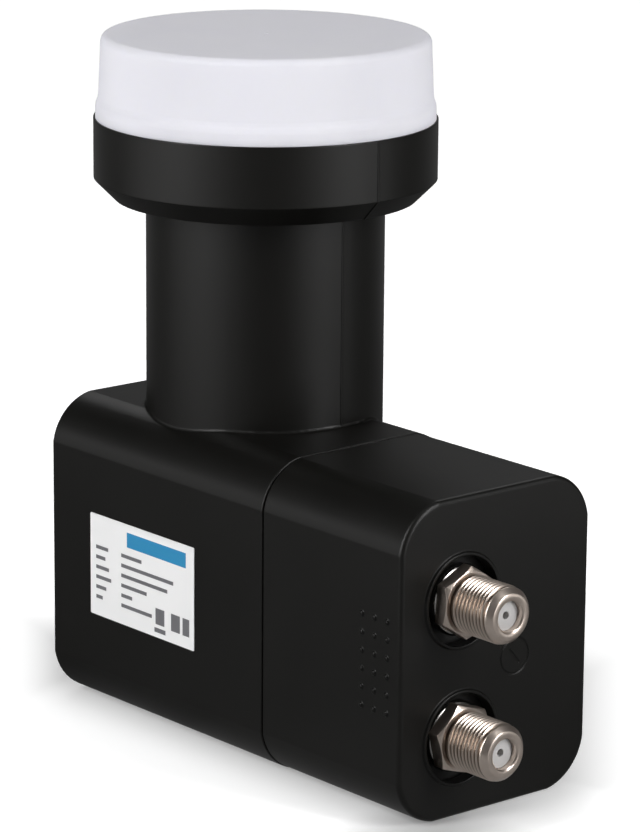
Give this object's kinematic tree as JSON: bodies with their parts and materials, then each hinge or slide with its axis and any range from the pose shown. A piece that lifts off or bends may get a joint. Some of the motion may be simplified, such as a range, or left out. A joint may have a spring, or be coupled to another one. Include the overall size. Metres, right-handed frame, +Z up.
{
  "type": "satellite lnb",
  "caption": "Satellite dish LNB: capped feed horn on a clamp neck, moulded box body, and a sliding weather cover over threaded F outlets.",
  "frame": {"origin": "on the feed axis, in the plane of the housing's flat underside", "axes": "+Z up the feed axis to the cap, +X out of the two F outlets, rating label on the -Y side"},
  "size_m": [0.1042, 0.0574, 0.1163],
  "materials": {
    "black_plastic": "satin moulded black",
    "milky_plastic": "milky white, slightly translucent",
    "die_cast": "as cast",
    "seal_rubber": "matte",
    "board_laminate": "solder mask",
    "chip_resin": "matte",
    "steel": "plated",
    "white_insulator": "smooth",
    "contact_brass": "bright",
    "nickel_plate": "nickel plated",
    "label_film": "satin film"
  },
  "bodies": {
    "body": {"housing": "black_plastic", "feed_cap": "milky_plastic", "cap_seal": "seal_rubber", "feed_horn": "die_cast", "horn_seal": "seal_rubber", "chassis": "die_cast", "front_gasket": "seal_rubber", "circuit_board": "board_laminate", "mixer_chip": "chip_resin", "crystal": "steel", "regulators": "chip_resin", "board_screws": "steel", "shield_lid": "die_cast", "lid_screws": "steel", "probe_bushes": "white_insulator", "vertical_probe": "contact_brass", "horizontal_probe": "contact_brass", "upper_connector_shell": "nickel_plate", "lower_connector_shell": "nickel_plate", "upper_lock_washer": "steel", "lower_lock_washer": "steel", "upper_insulator": "white_insulator", "lower_insulator": "white_insulator", "upper_contact": "contact_brass", "lower_contact": "contact_brass", "rating_label": "label_film"},
    "cover": {"weather_cover": "black_plastic"}
  },
  "joints": [
    {"name": "cover_slide", "type": "slide", "parent": "body", "child": "cover", "axis": [1, 0, 0], "range_m": [0, 0.021]}
  ]
}
